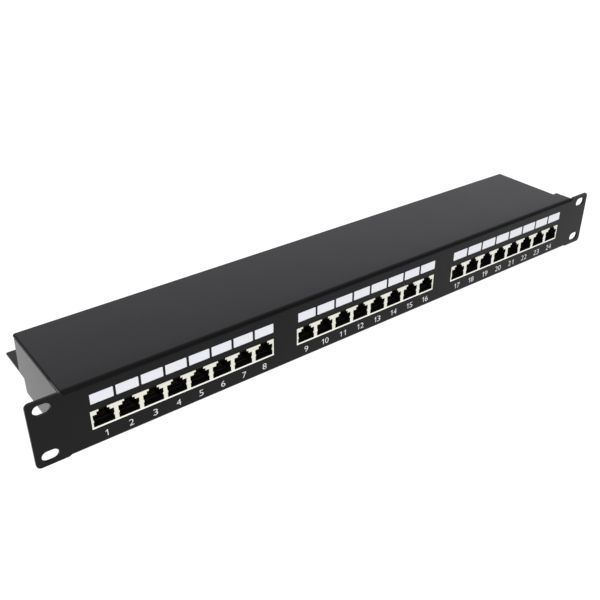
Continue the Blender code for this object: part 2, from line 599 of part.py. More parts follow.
def pan_head_screw(name, length, material):
    """The mesh of a cross-recessed screw, with its origin under the head and the head along +Z."""
    shank, head = SCREW_DIAMETER / 2, SCREW_HEAD_DIAMETER / 2
    rim = SCREW_HEAD_HEIGHT - SCREW_HEAD_CROWN
    screw = turned(name, [(0, -length), (shank, -length), (shank, 0), (head, 0), (head, rim),
                          (head - SCREW_HEAD_CROWN, SCREW_HEAD_HEIGHT), (0, SCREW_HEAD_HEIGHT)])
    wide, long = RECESS_WIDTH / 2, RECESS_LENGTH / 2
    arm = [(long, -wide), (long, wide), (wide, wide)]
    cross = []
    for quarter in range(4):
        cos, sin = math.cos(quarter * math.pi / 2), math.sin(quarter * math.pi / 2)
        cross += [(u * cos - v * sin, u * sin + v * cos) for u, v in arm]
    cut(screw, "recess", [("Z", cross, SCREW_HEAD_HEIGHT - RECESS_DEPTH, SCREW_HEAD_HEIGHT + MARGIN)])
    return finished_mesh(screw, material)


def make_screws(material, slide):
    """The screws of the boards, of the lid and of the front panel."""
    board_screw = pan_head_screw("board_screw", FIT + BOARD_THICKNESS + FIT + SCREW_GRIP, material)
    for number, (x, y) in enumerate(board_screw_places(), 1):
        place_copy(f"board_screw_{number}", board_screw, (x, y, BOARD_TOP + FIT))
    cover_screw = pan_head_screw("cover_screw", 2 * (FIT + BODY_SHEET) + SCREW_GRIP, material)
    facing_rear = (-math.pi / 2, 0, 0)
    for label, side in (("left", -1), ("right", 1)):
        place = (side * COVER_SCREW_X, LIP_REAR + FIT, COVER_SCREW_Z)
        ride(place_copy(f"cover_screw_{label}", cover_screw, place, facing_rear), slide)
    panel_screw = finished_mesh(turned("panel_screw", countersunk_profile(0, 0)), material)
    for label, x in zip(("left", "right"), TONGUE_CENTRES):
        place_copy(f"panel_screw_{label}", panel_screw, (x, PANEL_SCREW_Y, FLANGE_BOTTOM))


def make_earth_stud(material):
    """The earth stud through the cable tray, and its nut."""
    shank, head = STUD_DIAMETER / 2, STUD_HEAD_DIAMETER / 2
    under = TRAY_BOTTOM - FIT
    top = TRAY_TOP + STUD_HEIGHT
    foot = under - STUD_HEAD_HEIGHT
    stud = turned("earth_stud_model", [(0, foot), (head, foot), (head, under), (shank, under), (shank, top),
                                       (0, top)])
    place_copy("earth_stud", finished_mesh(stud, material), (STUD_X, STUD_Y, 0))
    nut_low = TRAY_TOP + FIT
    across_corners = NUT_WIDTH / math.cos(math.pi / 6)
    nut = prisms("earth_nut_model", [("Z", circle(0, 0, across_corners, 6), nut_low, nut_low + NUT_HEIGHT)])
    bore = circle(0, 0, STUD_DIAMETER + 2 * HOLE_FIT)
    cut(nut, "bore", [("Z", bore, nut_low - MARGIN, nut_low + NUT_HEIGHT + MARGIN)])
    place_copy("earth_nut", finished_mesh(nut, material), (STUD_X, STUD_Y, 0))


def main():
    """Models the panel piece by piece."""
    clear_scene()
    paint = finish("black_paint", (0.022, 0.022, 0.023), 0.45, 0.0)
    plating = finish("tin_plating", (0.78, 0.77, 0.70), 0.30, 1.0)
    black_plastic = finish("black_plastic", (0.012, 0.012, 0.012), 0.45, 0.0)
    gold = finish("gold_plating", (0.83, 0.62, 0.25), 0.25, 1.0)
    board_green = finish("solder_mask", (0.015, 0.09, 0.04), 0.40, 0.0)
    white_plastic = finish("white_plastic", (0.78, 0.78, 0.74), 0.45, 0.0)
    zinc = finish("zinc_plating", (0.62, 0.63, 0.65), 0.35, 1.0)
    slide = bpy.data.objects.new("cover_slide", None)
    slide.location = (0, (BODY_FRONT + LIP_REAR) / 2, LID_UNDER)
    bpy.context.scene.collection.objects.link(slide)
    make_front_panel(paint)
    make_base_tray(paint)
    make_top_cover(paint, slide)
    make_circuit_boards(board_green)
    make_jack_shields(plating)
    make_jack_housings(black_plastic)
    make_contact_inserts(gold)
    make_terminal_blocks(white_plastic)
    make_screws(zinc, slide)
    make_earth_stud(zinc)


main()
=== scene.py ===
"""Looks of a rack patch panel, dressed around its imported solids.

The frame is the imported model's own, in metres: X runs along the panel, Y from its front to its rear and Z up.
Each sub-assembly is a class that models its pieces, gives them their finish and rides them on a body.
"""

from __future__ import annotations

import logging
import math
from collections.abc import Callable, Iterator, Sequence
from contextlib import contextmanager
from dataclasses import dataclass
from enum import Enum
from typing import Any

import bmesh
import bpy
from mathutils import Matrix, Vector

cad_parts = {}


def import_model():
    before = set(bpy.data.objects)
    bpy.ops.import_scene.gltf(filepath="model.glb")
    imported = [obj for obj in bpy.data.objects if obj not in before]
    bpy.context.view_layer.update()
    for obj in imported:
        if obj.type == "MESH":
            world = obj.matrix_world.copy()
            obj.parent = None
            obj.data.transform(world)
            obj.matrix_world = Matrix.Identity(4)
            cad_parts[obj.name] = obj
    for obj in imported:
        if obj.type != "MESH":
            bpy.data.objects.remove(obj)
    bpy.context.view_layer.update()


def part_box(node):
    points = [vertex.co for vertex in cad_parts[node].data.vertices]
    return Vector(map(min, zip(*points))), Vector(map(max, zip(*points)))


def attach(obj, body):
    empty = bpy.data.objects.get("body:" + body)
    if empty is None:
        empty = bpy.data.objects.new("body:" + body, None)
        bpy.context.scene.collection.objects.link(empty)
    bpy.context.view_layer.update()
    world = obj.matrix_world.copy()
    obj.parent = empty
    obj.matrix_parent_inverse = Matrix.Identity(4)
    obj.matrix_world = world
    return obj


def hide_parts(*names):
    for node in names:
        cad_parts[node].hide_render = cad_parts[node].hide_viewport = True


Piece, Tree, Node, Socket = bpy.types.Object, bpy.types.NodeTree, bpy.types.Node, bpy.types.NodeSocket
# The corners of a box, a test of an edge by its two ends, a ring's radius and height, and two ends of a range
Box = tuple[Vector, Vector]
EdgeTest = Callable[[Vector, Vector], bool]
Ring = Range = tuple[float, float]

LOG = logging.getLogger("patch_panel")
GROUPS = (1, 2, 3)
PORTS_PER_GROUP = 8
BLOCKS_PER_GROUP = 4
SCREWS_PER_GROUP = 2
MM = 0.001
# Points closer together than this are one
MERGE = 0.002 * MM
# Degrees between faces that are one flat, and between faces whose edge is shaded or broken as a sharp one
FLAT_ANGLE = 0.5
SHADE_ANGLE = 35.0
BREAK_ANGLE = 42.0
# How strongly large faces draw the shading of their edges: 50 is by their area alone
FLAT_WEIGHT = 90
# Facets of a broken edge and of a rounded one
BREAK_FACETS = 2
ROUND_FACETS = 4
# Radians that a wave texture turns in a metre at a scale of one
WAVE_RADIANS = 20.0
WHITE = "ffffff"


class Body(Enum):
    """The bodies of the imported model."""

    CHASSIS = "chassis"
    COVER = "cover"


class Slot(Enum):
    """The record's material slots."""

    BLACK_PAINT = "black_paint"
    TIN_PLATING = "tin_plating"
    BLACK_PLASTIC = "black_plastic"
    GOLD_PLATING = "gold_plating"
    WHITE_PLASTIC = "white_plastic"
    ZINC_PLATING = "zinc_plating"


class Axis(Enum):
    """The frame's axes, by their place in a vector."""

    X = 0
    Y = 1
    Z = 2


class Facing(Enum):
    """Where a screw's head looks: the axis, whether that is its high end, and the head's turn about X."""

    UP = (Axis.Z, True, 0.0)
    REAR = (Axis.Y, True, -math.pi / 2)
    DOWN = (Axis.Z, False, math.pi)


class Carving(Enum):
    """The ways in which one piece shapes another."""

    CUT = "DIFFERENCE"
    BOUND = "INTERSECT"
    JOIN = "UNION"


# Materials


def linear(code: str) -> tuple[float, float, float, float]:
    """Turns an sRGB hex colour into linear light.

    Args:
        code: Six hex digits.

    Returns:
        Red, green, blue and an alpha of one.
    """
    parts = [int(code[i:i + 2], 16) / 255 for i in (0, 2, 4)]
    red, green, blue = [c / 12.92 if c <= 0.04045 else ((c + 0.055) / 1.055) ** 2.4 for c in parts]
    return red, green, blue, 1.0


def per_metre(size_mm: float) -> float:
    """Returns how many cells of a size in millimetres go into a metre."""
    return 1.0 / (size_mm * MM)


def add_node(tree: Tree, kind: str, inputs: dict[Any, Any] | None = None, **settings: Any) -> Node:
    """Adds a node with its settings and with what goes into it.

    Args:
        tree: The node tree to add to.
        kind: The node's type.
        inputs: For each input, by name or place, a value or the output that feeds it.
        settings: The node's own properties.

    Returns:
        The new node.
    """
    node = tree.nodes.new(kind)
    for name, value in settings.items():
        setattr(node, name, value)
    for key, value in (inputs or {}).items():
        if isinstance(value, Socket):
            tree.links.new(value, node.inputs[key])
        else:
            node.inputs[key].default_value = value
    return node


@dataclass(frozen=True)
class Finish:
    """A finish, named for the real material and the way its surface was made."""

    name: str

    def material(self) -> bpy.types.Material:
        """Makes the finish's material the first time, and finds it after that.

        Returns:
            The material.
        """
        found = bpy.data.materials.get(self.name)
        if found:
            return found
        made = bpy.data.materials.new(self.name)
        made.use_nodes = True
        tree = made.node_tree
        tree.nodes.clear()
        place = add_node(tree, "ShaderNodeTexCoord").outputs["Object"]
        shader = self.shade(tree, place)
        add_node(tree, "ShaderNodeOutputMaterial", {"Surface": shader.outputs[0]})
        return made

    def shade(self, tree: Tree, place: Socket) -> Node:
        """Builds the finish's nodes.

        Args:
            tree: The material's node tree.
            place: The piece's own coordinates, in metres.

        Returns:
            The shader node.
        """
        raise NotImplementedError


@dataclass(frozen=True)
class PowderCoat(Finish):
    """Polyester powder, sprayed on steel sheet and baked."""

    # Satin black: hardly any colour of its own, so the eye sees the room in it through a faint orange peel
    name: str = "polyester_powder_coat"
    colour: str = "070707"
    duller: str = "0b0b0c"
    peel_mm: float = 1.5
    peel_depth_mm: float = 0.006
    cloud_mm: float = 30.0
    rough: Range = (0.30, 0.38)
    gloss: float = 0.185
    ior: float = 1.45

    def shade(self, tree: Tree, place: Socket) -> Node:
        """Builds the orange peel, and clouds of slightly duller paint.

        Args:
            tree: The material's node tree.
            place: The piece's own coordinates, in metres.

        Returns:
            The shader node.
        """
        peel = add_node(tree, "ShaderNodeTexNoise", {
            "Vector": place, "Scale": per_metre(self.peel_mm), "Detail": 2.0})
        relief = add_node(tree, "ShaderNodeBump", {
            "Height": peel.outputs["Fac"], "Distance": self.peel_depth_mm * MM})
        cloud = add_node(tree, "ShaderNodeTexNoise", {
            "Vector": place, "Scale": per_metre(self.cloud_mm), "Detail": 4.0}).outputs["Fac"]
        tone = add_node(tree, "ShaderNodeMix", {
            "Factor": cloud, 6: linear(self.colour), 7: linear(self.duller)}, data_type="RGBA")
        satin = add_node(tree, "ShaderNodeMapRange", {
            "Value": cloud, "To Min": self.rough[0], "To Max": self.rough[1]})
        return add_node(tree, "ShaderNodeBsdfPrincipled", {
            "Base Color": tone.outputs[2], "Roughness": satin.outputs[0], "IOR": self.ior,
            "Specular IOR Level": self.gloss, "Normal": relief.outputs[0]})


@dataclass(frozen=True)
class TinPlate(Finish):
    """Tin-plated steel strip, bright from the rolls, stamped and folded."""

    # A warm white metal: soft reflections drawn out along the rolling direction
    name: str = "bright_tin_plate"
    colour: str = "ecebe0"
    duller: str = "dedcce"
    grain_mm: float = 0.35
    streak_mm: float = 14.0
    rough: Range = (0.26, 0.42)

    def shade(self, tree: Tree, place: Socket) -> Node:
        """Builds rolling streaks along X.

        Args:
            tree: The material's node tree.
            place: The piece's own coordinates, in metres.

        Returns:
            The shader node.
        """
        fine = per_metre(self.grain_mm)
        laid = add_node(tree, "ShaderNodeMapping", {
            "Vector": place, "Scale": (per_metre(self.streak_mm), fine, fine)})
        rolled = add_node(tree, "ShaderNodeTexNoise", {
            "Vector": laid.outputs[0], "Scale": 1.0, "Detail": 3.0}).outputs["Fac"]
        tone = add_node(tree, "ShaderNodeMix", {
            "Factor": rolled, 6: linear(self.colour), 7: linear(self.duller)}, data_type="RGBA")
        sheen = add_node(tree, "ShaderNodeMapRange", {
            "Value": rolled, "To Min": self.rough[0], "To Max": self.rough[1]})
        return add_node(tree, "ShaderNodeBsdfPrincipled", {
            "Base Color": tone.outputs[2], "Metallic": 1.0, "Roughness": sheen.outputs[0]})


@dataclass(frozen=True)
class GrainedFinish(Finish):
    """A surface with a fine grain."""

    # The grain tints the surface a little, and breaks up what is mirrored in it
    name: str
    colour: str
    duller: str
    roughness: float
    gloss: float = 0.5
    ior: float = 1.5
    grain_mm: float = 0.5
    grain_depth_mm: float = 0.006
    grain_layers: float = 2.0

    def shade(self, tree: Tree, place: Socket) -> Node:
        """Builds the grain.

        Args:
            tree: The material's node tree.
            place: The piece's own coordinates, in metres.

        Returns:
            The shader node.
        """
        grain = add_node(tree, "ShaderNodeTexNoise", {
            "Vector": place, "Scale": per_metre(self.grain_mm), "Detail": self.grain_layers}).outputs["Fac"]
        relief = add_node(tree, "ShaderNodeBump", {
            "Height": grain, "Distance": self.grain_depth_mm * MM})
        tone = add_node(tree, "ShaderNodeMix", {
            "Factor": grain, 6: linear(self.colour), 7: linear(self.duller)}, data_type="RGBA")
        return add_node(tree, "ShaderNodeBsdfPrincipled", {
            "Base Color": tone.outputs[2], "Roughness": self.roughness, "IOR": self.ior,
            "Specular IOR Level": self.gloss, "Normal": relief.outputs[0]})


@dataclass(frozen=True)
class MouldedPlastic(GrainedFinish):
    """Thermoplastic, moulded in a spark-eroded tool."""

    # Dull, with the fine even grit of the tool, drawn coarser than its real 0.1 mm so that it shows
    ior: float = 1.55
    grain_mm: float = 0.4
    grain_depth_mm: float = 0.008


@dataclass(frozen=True)
class CoatedFilm(GrainedFinish):
    """Thin matt coat on a surface: printing ink, or a film to write on."""

    # White with a soft tooth, drawn coarser than the real one so that it shows
    grain_layers: float = 3.0


@dataclass(frozen=True)
class PlatedMetal(Finish):
    """Metal with a thin bright electroplate."""

    # Bright and smooth, with a passing tint and a softer gleam where the plate varies
    name: str
    colour: str
    tint: str
    roughness: float = 0.24
    patch_mm: float = 2.5
    patch_rough: float = 0.12

    def shade(self, tree: Tree, place: Socket) -> Node:
        """Builds patches of tint.

        Args:
            tree: The material's node tree.
            place: The piece's own coordinates, in metres.

        Returns:
            The shader node.
        """
        patch = add_node(tree, "ShaderNodeTexNoise", {
            "Vector": place, "Scale": per_metre(self.patch_mm), "Detail": 4.0}).outputs["Fac"]
        tone = add_node(tree, "ShaderNodeMix", {
            "Factor": patch, 6: linear(self.colour), 7: linear(self.tint)}, data_type="RGBA")
        sheen = add_node(tree, "ShaderNodeMapRange", {
            "Value": patch, "To Min": self.roughness, "To Max": self.roughness + self.patch_rough})
        return add_node(tree, "ShaderNodeBsdfPrincipled", {
            "Base Color": tone.outputs[2], "Metallic": 1.0, "Roughness": sheen.outputs[0]})


@dataclass(frozen=True)
class SolderMask(Finish):
    """Green lacquer over copper tracks on glass-epoxy board."""

    # Glossy green, lighter where a track lies under the lacquer, each track standing up a hair
    name: str = "solder_mask_on_board"
    bare: str = "0c4a26"
    track: str = "1c6f3c"
    track_pitch_mm: float = 4.1
    track_edge: Range = (0.62, 0.74)
    track_depth_mm: float = 0.035
    wander: float = 1.2
    wander_mm: float = 9.0
    roughness: float = 0.28
    ior: float = 1.52

    def shade(self, tree: Tree, place: Socket) -> Node:
        """Builds tracks that run from the jacks to the blocks.

        Args:
            tree: The material's node tree.
            place: The piece's own coordinates, in metres.

        Returns:
            The shader node.
        """
        bands = add_node(tree, "ShaderNodeTexWave", {
            "Vector": place, "Scale": per_metre(self.track_pitch_mm) * math.tau / WAVE_RADIANS,
            "Distortion": self.wander, "Detail": 0.0, "Detail Scale": per_metre(self.wander_mm)},
            wave_type="BANDS", bands_direction="X")
        raised = add_node(tree, "ShaderNodeMapRange", {
            "Value": bands.outputs["Fac"], "From Min": self.track_edge[0],
            "From Max": self.track_edge[1]}).outputs[0]
        relief = add_node(tree, "ShaderNodeBump", {
            "Height": raised, "Distance": self.track_depth_mm * MM})
        tone = add_node(tree, "ShaderNodeMix", {
            "Factor": raised, 6: linear(self.bare), 7: linear(self.track)}, data_type="RGBA")
        return add_node(tree, "ShaderNodeBsdfPrincipled", {
            "Base Color": tone.outputs[2], "Roughness": self.roughness, "IOR": self.ior,
            "Normal": relief.outputs[0]})


@dataclass(frozen=True)
class LightTable(Finish):
    """Opal sheet lit from below, which the object stands on."""

    # Bright from its own light, so that no shadow shows on it, and clear from below, to show the underside
    name: str = "opal_light_table"
    colour: str = "5c5c5c"
    cloud_mm: float = 400.0
    rough: Range = (0.80, 0.90)
    gloss: float = 0.1
    glow: float = 1.0

    def shade(self, tree: Tree, place: Socket) -> Node:
        """Builds a sheet with a faint cloudiness.

        Args:
            tree: The material's node tree.
            place: The piece's own coordinates, in metres.

        Returns:
            The shader node.
        """
        cloud = add_node(tree, "ShaderNodeTexNoise", {"Vector": place, "Scale": per_metre(self.cloud_mm)})
        matt = add_node(tree, "ShaderNodeMapRange", {
            "Value": cloud.outputs["Fac"], "To Min": self.rough[0], "To Max": self.rough[1]})
        lit = add_node(tree, "ShaderNodeBsdfPrincipled", {
            "Base Color": linear(self.colour), "Roughness": matt.outputs[0],
            "Specular IOR Level": self.gloss, "Emission Color": linear(WHITE),
            "Emission Strength": self.glow})
        clear = add_node(tree, "ShaderNodeBsdfTransparent")
        side = add_node(tree, "ShaderNodeNewGeometry").outputs["Backfacing"]
        return add_node(tree, "ShaderNodeMixShader", {0: side, 1: lit.outputs[0], 2: clear.outputs[0]})


POWDER_COAT = PowderCoat()
TRAY_COAT = PowderCoat("polyester_powder_coat_smooth", rough=(0.18, 0.24))
TIN_PLATE = TinPlate()
# The same tin painted lighter: a painted highlight for the lip under the ports, standing in for the light it
# catches from above
TIN_PAINTED_HIGHLIGHT = TinPlate("tin_plate_painted_highlight", "fffef8", "f8f6ec")
SHEARED_EDGE = PlatedMetal("sheared_steel_edge", "5a5955", "44433f", roughness=0.45, patch_mm=0.6)
JACK_PLASTIC = MouldedPlastic("moulded_polyester_black", "050505", "080808", roughness=0.7, gloss=0.15)
BLOCK_PLASTIC = MouldedPlastic("moulded_polycarbonate_white", "e6e6df", "dfdfd6", roughness=0.42,
                               grain_mm=0.5, grain_depth_mm=0.004)
GOLD_FLASH = PlatedMetal("gold_flash_on_bronze", "b89a58", "8f7136", roughness=0.34)
ZINC_PLATE = PlatedMetal("bright_zinc_plate", "d9dde0", "c7c9c2")
BLADE_PLATE = PlatedMetal("tin_on_bronze_blade", "dcdad2", "c4c0b4", roughness=0.3, patch_mm=1.2)
SOLDER_MASK = SolderMask()
PRINT_INK = CoatedFilm("screen_print_ink", "f4f4f6", "e9e9ec", roughness=0.5, grain_mm=0.4,
                       grain_depth_mm=0.003)
WRITING_FILM = CoatedFilm("matt_writing_film", "f0f1f5", "e2e4e9", roughness=0.6)
LIGHT_TABLE = LightTable()


# Shaping


def alone(piece: Piece) -> None:
    """Makes a piece the active object and the only one selected.

    Args:
        piece: The piece to work on.
    """
    bpy.ops.object.select_all(action="DESELECT")
    piece.select_set(True)
    bpy.context.view_layer.objects.active = piece


@contextmanager
def editing(piece: Piece) -> Iterator[None]:
    """Holds a piece in edit mode, with all of it selected at the start.

    Args:
        piece: The piece to shape.

    Returns:
        A context that goes back to object mode at its end.
    """
    alone(piece)
    bpy.ops.object.mode_set(mode="EDIT")
    bpy.ops.mesh.select_all(action="SELECT")
    try:
        yield
    finally:
        bpy.ops.object.mode_set(mode="OBJECT")


def pick_edges(piece: Piece, wanted: EdgeTest) -> None:
    """Selects edges by their two ends, in edit mode.

    Args:
        piece: The piece in edit mode.
        wanted: Says for an edge's two ends whether it is selected.
    """
    bpy.ops.mesh.select_mode(type="EDGE")
    bpy.ops.mesh.select_all(action="DESELECT")
    shape = bmesh.from_edit_mesh(piece.data)
    for edge in shape.edges:
        edge.select_set(wanted(edge.verts[0].co, edge.verts[1].co))
    bmesh.update_edit_mesh(piece.data)


def bevel_edges(piece: Piece, wanted: EdgeTest, width_mm: float, facets: int = 1) -> None:
    """Bevels edges that a test picks, in edit mode.

    Args:
        piece: The piece in edit mode.
        wanted: Says for an edge's two ends whether it is bevelled.
        width_mm: The width of the bevel.
        facets: How many facets it has.
    """
    pick_edges(piece, wanted)
    bpy.ops.mesh.bevel(offset=width_mm * MM, segments=facets, affect="EDGES")


def runs_along(axis: Axis) -> EdgeTest:
    """Returns a test for edges that run along an axis."""
    others = [a.value for a in Axis if a is not axis]
    return lambda a, b: all(abs(a[i] - b[i]) < MERGE for i in others)


def modify(piece: Piece, kind: str, **settings: Any) -> None:
    """Adds a modifier to a piece and applies it.

    Args:
        piece: The piece to change.
        kind: The modifier's type.
        settings: The modifier's properties.
    """
    alone(piece)
    bpy.ops.object.modifier_add(type=kind)
    modifier = piece.modifiers[-1]
    for name, value in settings.items():
        setattr(modifier, name, value)
    bpy.ops.object.modifier_apply(modifier=modifier.name)


def carve(piece: Piece, tool: Piece, way: Carving) -> None:
    """Carves a piece with a second one, which is used up.

    Args:
        piece: The piece to keep.
        tool: The piece that cuts it, bounds it or is joined to it.
        way: Which of these the second one does.
    """
    modify(piece, "BOOLEAN", object=tool, operation=way.value, solver="EXACT")
    bpy.data.objects.remove(tool)


def settle(piece: Piece) -> None:
    """Puts a piece's place into its mesh, so that its object sits at the origin."""
    alone(piece)
    bpy.ops.object.transform_apply(location=True, rotation=True, scale=True)


def smooth(piece: Piece) -> None:
    """Shades a piece smooth over its curves, and keeps its flats flat.

    Args:
        piece: The piece to shade.
    """
    alone(piece)
    bpy.ops.object.shade_smooth_by_angle(angle=math.radians(SHADE_ANGLE))
    modify(piece, "WEIGHTED_NORMAL", keep_sharp=True, weight=FLAT_WEIGHT)


def mirror(piece: Piece) -> None:
    """Adds a piece's mirror image across X.

    Args:
        piece: The piece, which lies on one side of X.
    """
    modify(piece, "MIRROR", use_axis=(True, False, False))
    with editing(piece):
        bpy.ops.mesh.normals_make_consistent(inside=False)


def added(name: str, add: Callable[..., Any], **settings: Any) -> Piece:
    """Adds an object, with nothing else selected.

    Args:
        name: The object's name.
        add: The operator that adds it.
        settings: The operator's settings.

    Returns:
        The new object.
    """
    bpy.ops.object.select_all(action="DESELECT")
    add(**settings)
    piece = bpy.context.object
    piece.name = piece.data.name = name
    return piece


def block(name: str, low: Vector, high: Vector) -> Piece:
    """Adds a box between two corners.

    Args:
        name: The piece's name.
        low: The lowest corner.
        high: The highest corner.

    Returns:
        The box, to be shaped further.
    """
    piece = added(name, bpy.ops.mesh.primitive_cube_add, size=1.0, location=(low + high) / 2,
                  scale=high - low)
    settle(piece)
    return piece


def turned(name: str, sides: int, rings: Sequence[Ring]) -> Piece:
    """Models a piece about the Z axis, drawn up from a disc through its rings.

    Args:
        name: The piece's name.
        sides: How many sides the disc has.
        rings: The rings, from the lowest to the highest.

    Returns:
        The closed piece.
    """
    (radius, height), *further = [(wide * MM, high * MM) for wide, high in rings]
    piece = added(name, bpy.ops.mesh.primitive_circle_add, vertices=sides, radius=radius, fill_type="NGON",
                  location=(0, 0, height))
    settle(piece)
    with editing(piece):
        for wider, higher in further:
            growth = wider / radius
            bpy.ops.mesh.extrude_region_move(TRANSFORM_OT_translate={"value": (0, 0, higher - height)})
            bpy.ops.transform.resize(value=(growth, growth, 1), center_override=(0, 0, higher))
            radius, height = wider, higher
        bpy.ops.mesh.select_all(action="SELECT")
        bpy.ops.mesh.normals_make_consistent(inside=False)
    return piece


def joined(name: str, pieces: Sequence[Piece]) -> Piece:
    """Joins pieces that make one component.

    Args:
        name: The component's name.
        pieces: What it is made of.

    Returns:
        The component.
    """
    alone(pieces[0])
    for piece in pieces[1:]:
        piece.select_set(True)
    bpy.ops.object.join()
    pieces[0].name = pieces[0].data.name = name
    return pieces[0]


def repeated(name: str, piece: Piece, shifts: Sequence[Vector]) -> Piece:
    """Copies a piece, which is used up, to the places of a component.

    Args:
        name: The component's name.
        piece: The piece to copy.
        shifts: How far each copy is moved.

    Returns:
        The component.
    """
    copies = []
    for shift in shifts:
        twin = bpy.data.objects.new(name, piece.data.copy())
        bpy.context.scene.collection.objects.link(twin)
        twin.data.transform(Matrix.Translation(shift))
        copies.append(twin)
    bpy.data.objects.remove(piece)
    return joined(name, copies)


def softened(node: str, name: str, edge_mm: float, rounded: EdgeTest | None = None,
             round_mm: float = 0.0) -> Piece:
    """Copies a CAD node and breaks its sharp edges.

    Args:
        node: The node's name.
        name: The new piece's name.
        edge_mm: The width of the broken edge.
        rounded: Says for an edge's two ends whether it is rounded before the rest, if any is.
        round_mm: The width of a rounded edge.

    Returns:
        The new piece, in the node's place.
    """
    piece = bpy.data.objects.new(name, bpy.data.objects[node].data.copy())
    bpy.context.scene.collection.objects.link(piece)
    piece.data.materials.clear()
    alone(piece)
    bpy.ops.mesh.customdata_custom_splitnormals_clear()
    with editing(piece):
        bpy.ops.mesh.remove_doubles(threshold=MERGE)
        bpy.ops.mesh.dissolve_limited(angle_limit=math.radians(FLAT_ANGLE))
        if rounded:
            bevel_edges(piece, rounded, round_mm, ROUND_FACETS)
    modify(piece, "BEVEL", width=edge_mm * MM, segments=BREAK_FACETS, limit_method="ANGLE",
           angle_limit=math.radians(BREAK_ANGLE))
    smooth(piece)
    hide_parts(node)
    return piece


def dress(piece: Piece, finish: Finish, body: Body = Body.CHASSIS) -> Piece:
    """Gives a new piece its finish, and rides it on a body.

    Args:
        piece: The new piece.
        finish: The finish that covers it.
        body: The body it moves with.

    Returns:
        The piece.
    """
    piece.data.materials.clear()
    piece.data.materials.append(finish.material())
    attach(piece, body.value)
    return piece


def paint_node(node: str, finish: Finish) -> Piece:
    """Gives a CAD node that keeps its shape a better finish.

    Args:
        node: The node's name.
        finish: The finish that covers it.

    Returns:
        The node's object.
    """
    piece = bpy.data.objects[node]
    piece.material_slots[0].material = finish.material()
    return piece


def numbered(stem: str, group: int, count: int) -> list[str]:
    """Returns the names of a group's nodes, from its left to its right."""
    first = (group - 1) * count + 1
    return [f"{stem}_{number:02d}" for number in range(first, first + count)]


def port_boxes(group: int) -> list[Box]:
    """Returns the boxes of the contact inserts of a group."""
    return [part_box(node) for node in numbered("contact_insert", group, PORTS_PER_GROUP)]


def port_middles(group: int) -> list[float]:
    """Returns the middles of a group's ports, along X."""
    return [(low.x + high.x) / 2 for low, high in port_boxes(group)]


# Sub-assemblies


